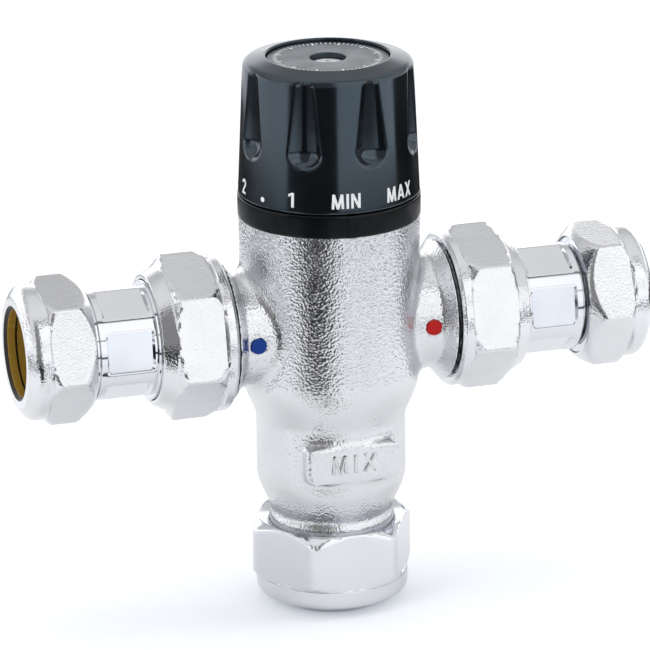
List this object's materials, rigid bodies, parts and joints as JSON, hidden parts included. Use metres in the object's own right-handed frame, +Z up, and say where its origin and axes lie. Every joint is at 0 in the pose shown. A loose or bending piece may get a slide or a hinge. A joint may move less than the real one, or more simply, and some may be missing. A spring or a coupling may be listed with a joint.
{
  "type": "thermostatic mixing valve",
  "caption": "Chromed tee-bodied thermostatic mixing valve with a black fluted knob on top, union inlets at both sides, compression ends for tube and a bottom outlet.",
  "frame": {"origin": "on the spindle axis, in the lower end face of the outlet nut", "axes": "+Z up the spindle axis towards the knob, +X out of the hot inlet, -Y out of the front with its cast pad"},
  "size_m": [0.166, 0.047, 0.1456],
  "materials": {
    "cast_chrome": "chromed over a fine cast texture",
    "cast_nut_chrome": "chromed over a lightly cast texture",
    "plain_chrome": "chromed over a turned face",
    "knob_plastic": "glossy black moulding with white figures",
    "ring_plastic": "glossy black moulding",
    "label_plastic": "satin dark grey",
    "steel": "bright stainless steel",
    "brass": "turned brass",
    "copper": "copper capsule",
    "rubber": "moulded nitrile rubber",
    "fibre": "red vulcanised fibre",
    "shutter_plastic": "glass-filled moulding",
    "valve_plastic": "white moulding",
    "blue_plastic": "blue plug",
    "red_plastic": "red plug"
  },
  "bodies": {
    "root": {"valve_body": "cast_chrome", "index_ring": "ring_plastic", "bonnet": "brass", "bonnet_o_ring": "rubber", "seat_ring": "brass", "spring_plate": "steel", "outlet_nut": "plain_chrome", "outlet_olive": "brass", "cold_marker": "blue_plastic", "hot_marker": "red_plastic", "cold_union_nut": "cast_nut_chrome", "cold_union_tail": "plain_chrome", "cold_union_gasket": "fibre", "cold_strainer": "steel", "cold_check_valve_cage": "valve_plastic", "cold_compression_nut": "cast_nut_chrome", "cold_olive": "brass", "hot_union_nut": "cast_nut_chrome", "hot_union_tail": "plain_chrome", "hot_union_gasket": "fibre", "hot_strainer": "steel", "hot_check_valve_cage": "valve_plastic", "hot_compression_nut": "cast_nut_chrome", "hot_olive": "brass"},
    "knob": {"knob": "knob_plastic", "knob_label_disc": "label_plastic", "knob_screw": "steel", "spindle": "brass", "spindle_o_ring": "rubber"},
    "carrier": {"spring_carrier": "brass", "overtravel_spring": "steel", "carrier_clip": "steel"},
    "thrust": {"thrust_pad": "steel", "element_piston": "steel"},
    "shutter": {"wax_element": "copper", "shutter": "shutter_plastic", "shutter_o_ring": "rubber", "return_spring": "steel"},
    "cold_check": {"cold_check_valve_poppet": "valve_plastic", "cold_check_valve_spring": "steel"},
    "hot_check": {"hot_check_valve_poppet": "valve_plastic", "hot_check_valve_spring": "steel"}
  },
  "joints": [
    {"name": "knob_turn", "type": "hinge", "parent": "root", "child": "knob", "pos_m": [0, 0, 0.1101], "axis": [0, 0, 1], "range_deg": [0, 321]},
    {"name": "carrier_travel", "type": "slide", "parent": "root", "child": "carrier", "axis": [0, 0, 1], "range_m": [0, 0.00135]},
    {"name": "overtravel", "type": "slide", "parent": "carrier", "child": "thrust", "axis": [0, 0, 1], "range_m": [0, 0.0015], "stiffness_N_per_m": 600, "springref_m": -0.004, "deforming": ["overtravel_spring"]},
    {"name": "element_stroke", "type": "slide", "parent": "carrier", "child": "shutter", "axis": [0, 0, -1], "range_m": [0, 0.0015], "stiffness_N_per_m": 2000, "springref_m": -0.004, "deforming": ["return_spring"]},
    {"name": "cold_check_lift", "type": "slide", "parent": "root", "child": "cold_check", "axis": [1, 0, 0], "range_m": [0, 0.004], "stiffness_N_per_m": 60, "springref_m": -0.003, "deforming": ["cold_check_valve_spring"]},
    {"name": "hot_check_lift", "type": "slide", "parent": "root", "child": "hot_check", "axis": [-1, 0, 0], "range_m": [0, 0.004], "stiffness_N_per_m": 60, "springref_m": -0.003, "deforming": ["hot_check_valve_spring"]}
  ],
  "couplings": [
    {"joint": "carrier_travel", "follows": "knob_turn", "m_per_rad": 0.00023873}
  ]
}
